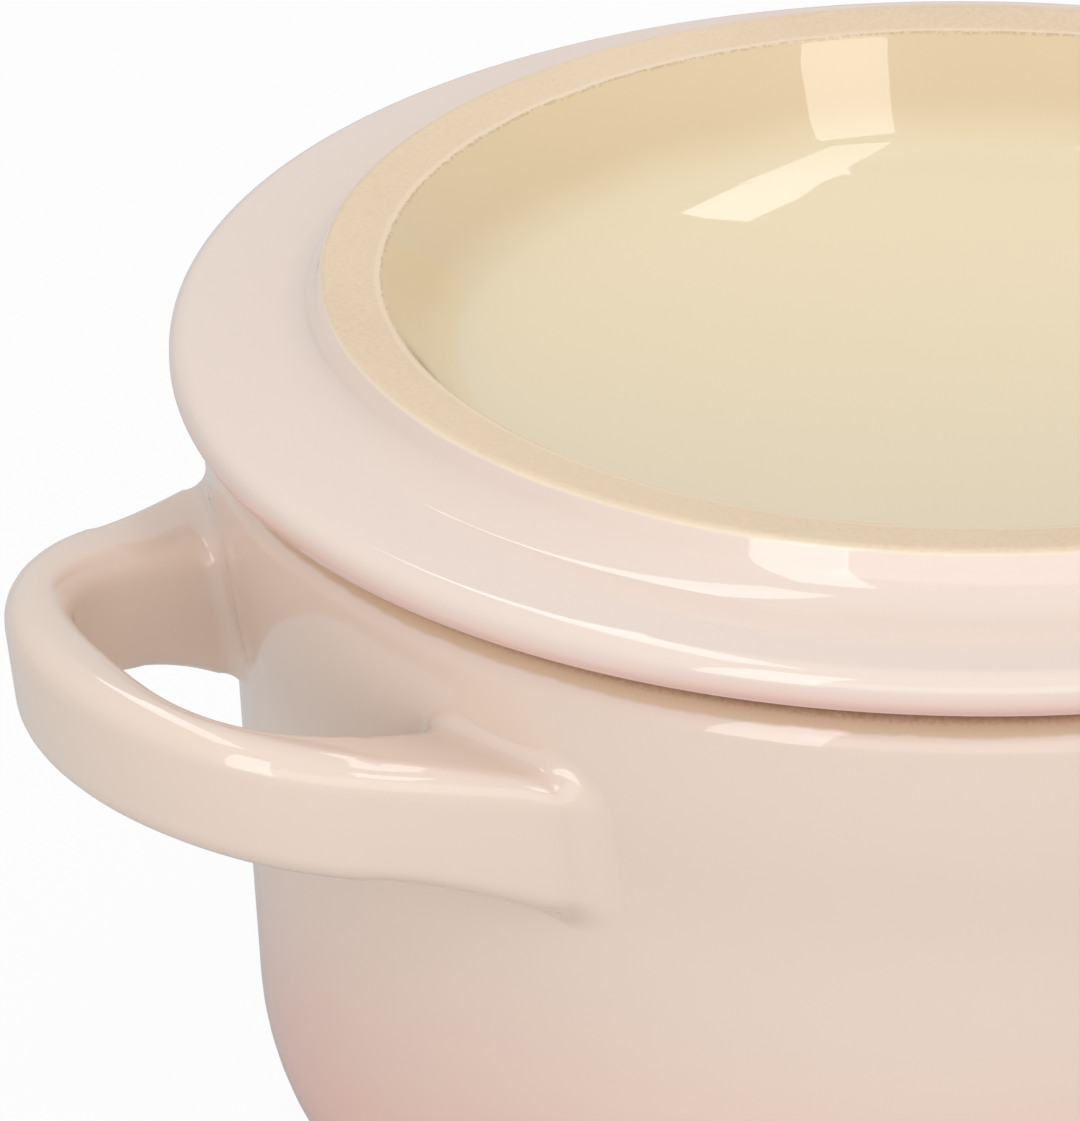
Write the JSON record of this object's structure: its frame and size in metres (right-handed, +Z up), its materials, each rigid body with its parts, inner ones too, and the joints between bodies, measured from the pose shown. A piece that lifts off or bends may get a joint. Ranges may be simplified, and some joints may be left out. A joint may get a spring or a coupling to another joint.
{
  "type": "mini casserole",
  "caption": "Small round stoneware casserole with two loop handles moulded on, and a domed lid with a knob that lies upside down on the rim as a shallow dish.",
  "frame": {"origin": "middle of the base, on the surface that the pot stands on", "axes": "+Z up, X along the line through both handles, Y across it"},
  "size_m": [0.13, 0.1, 0.0626],
  "materials": {
    "pot_glaze": "glossy pale pink glaze, deeper towards the base, bare tan rim and foot, cream inside",
    "lid_glaze": "glossy pale pink glaze outside, cream inside, bare tan tip on the locating ring"
  },
  "bodies": {
    "root": {"pot": "pot_glaze", "lid": "lid_glaze"}
  },
  "joints": []
}
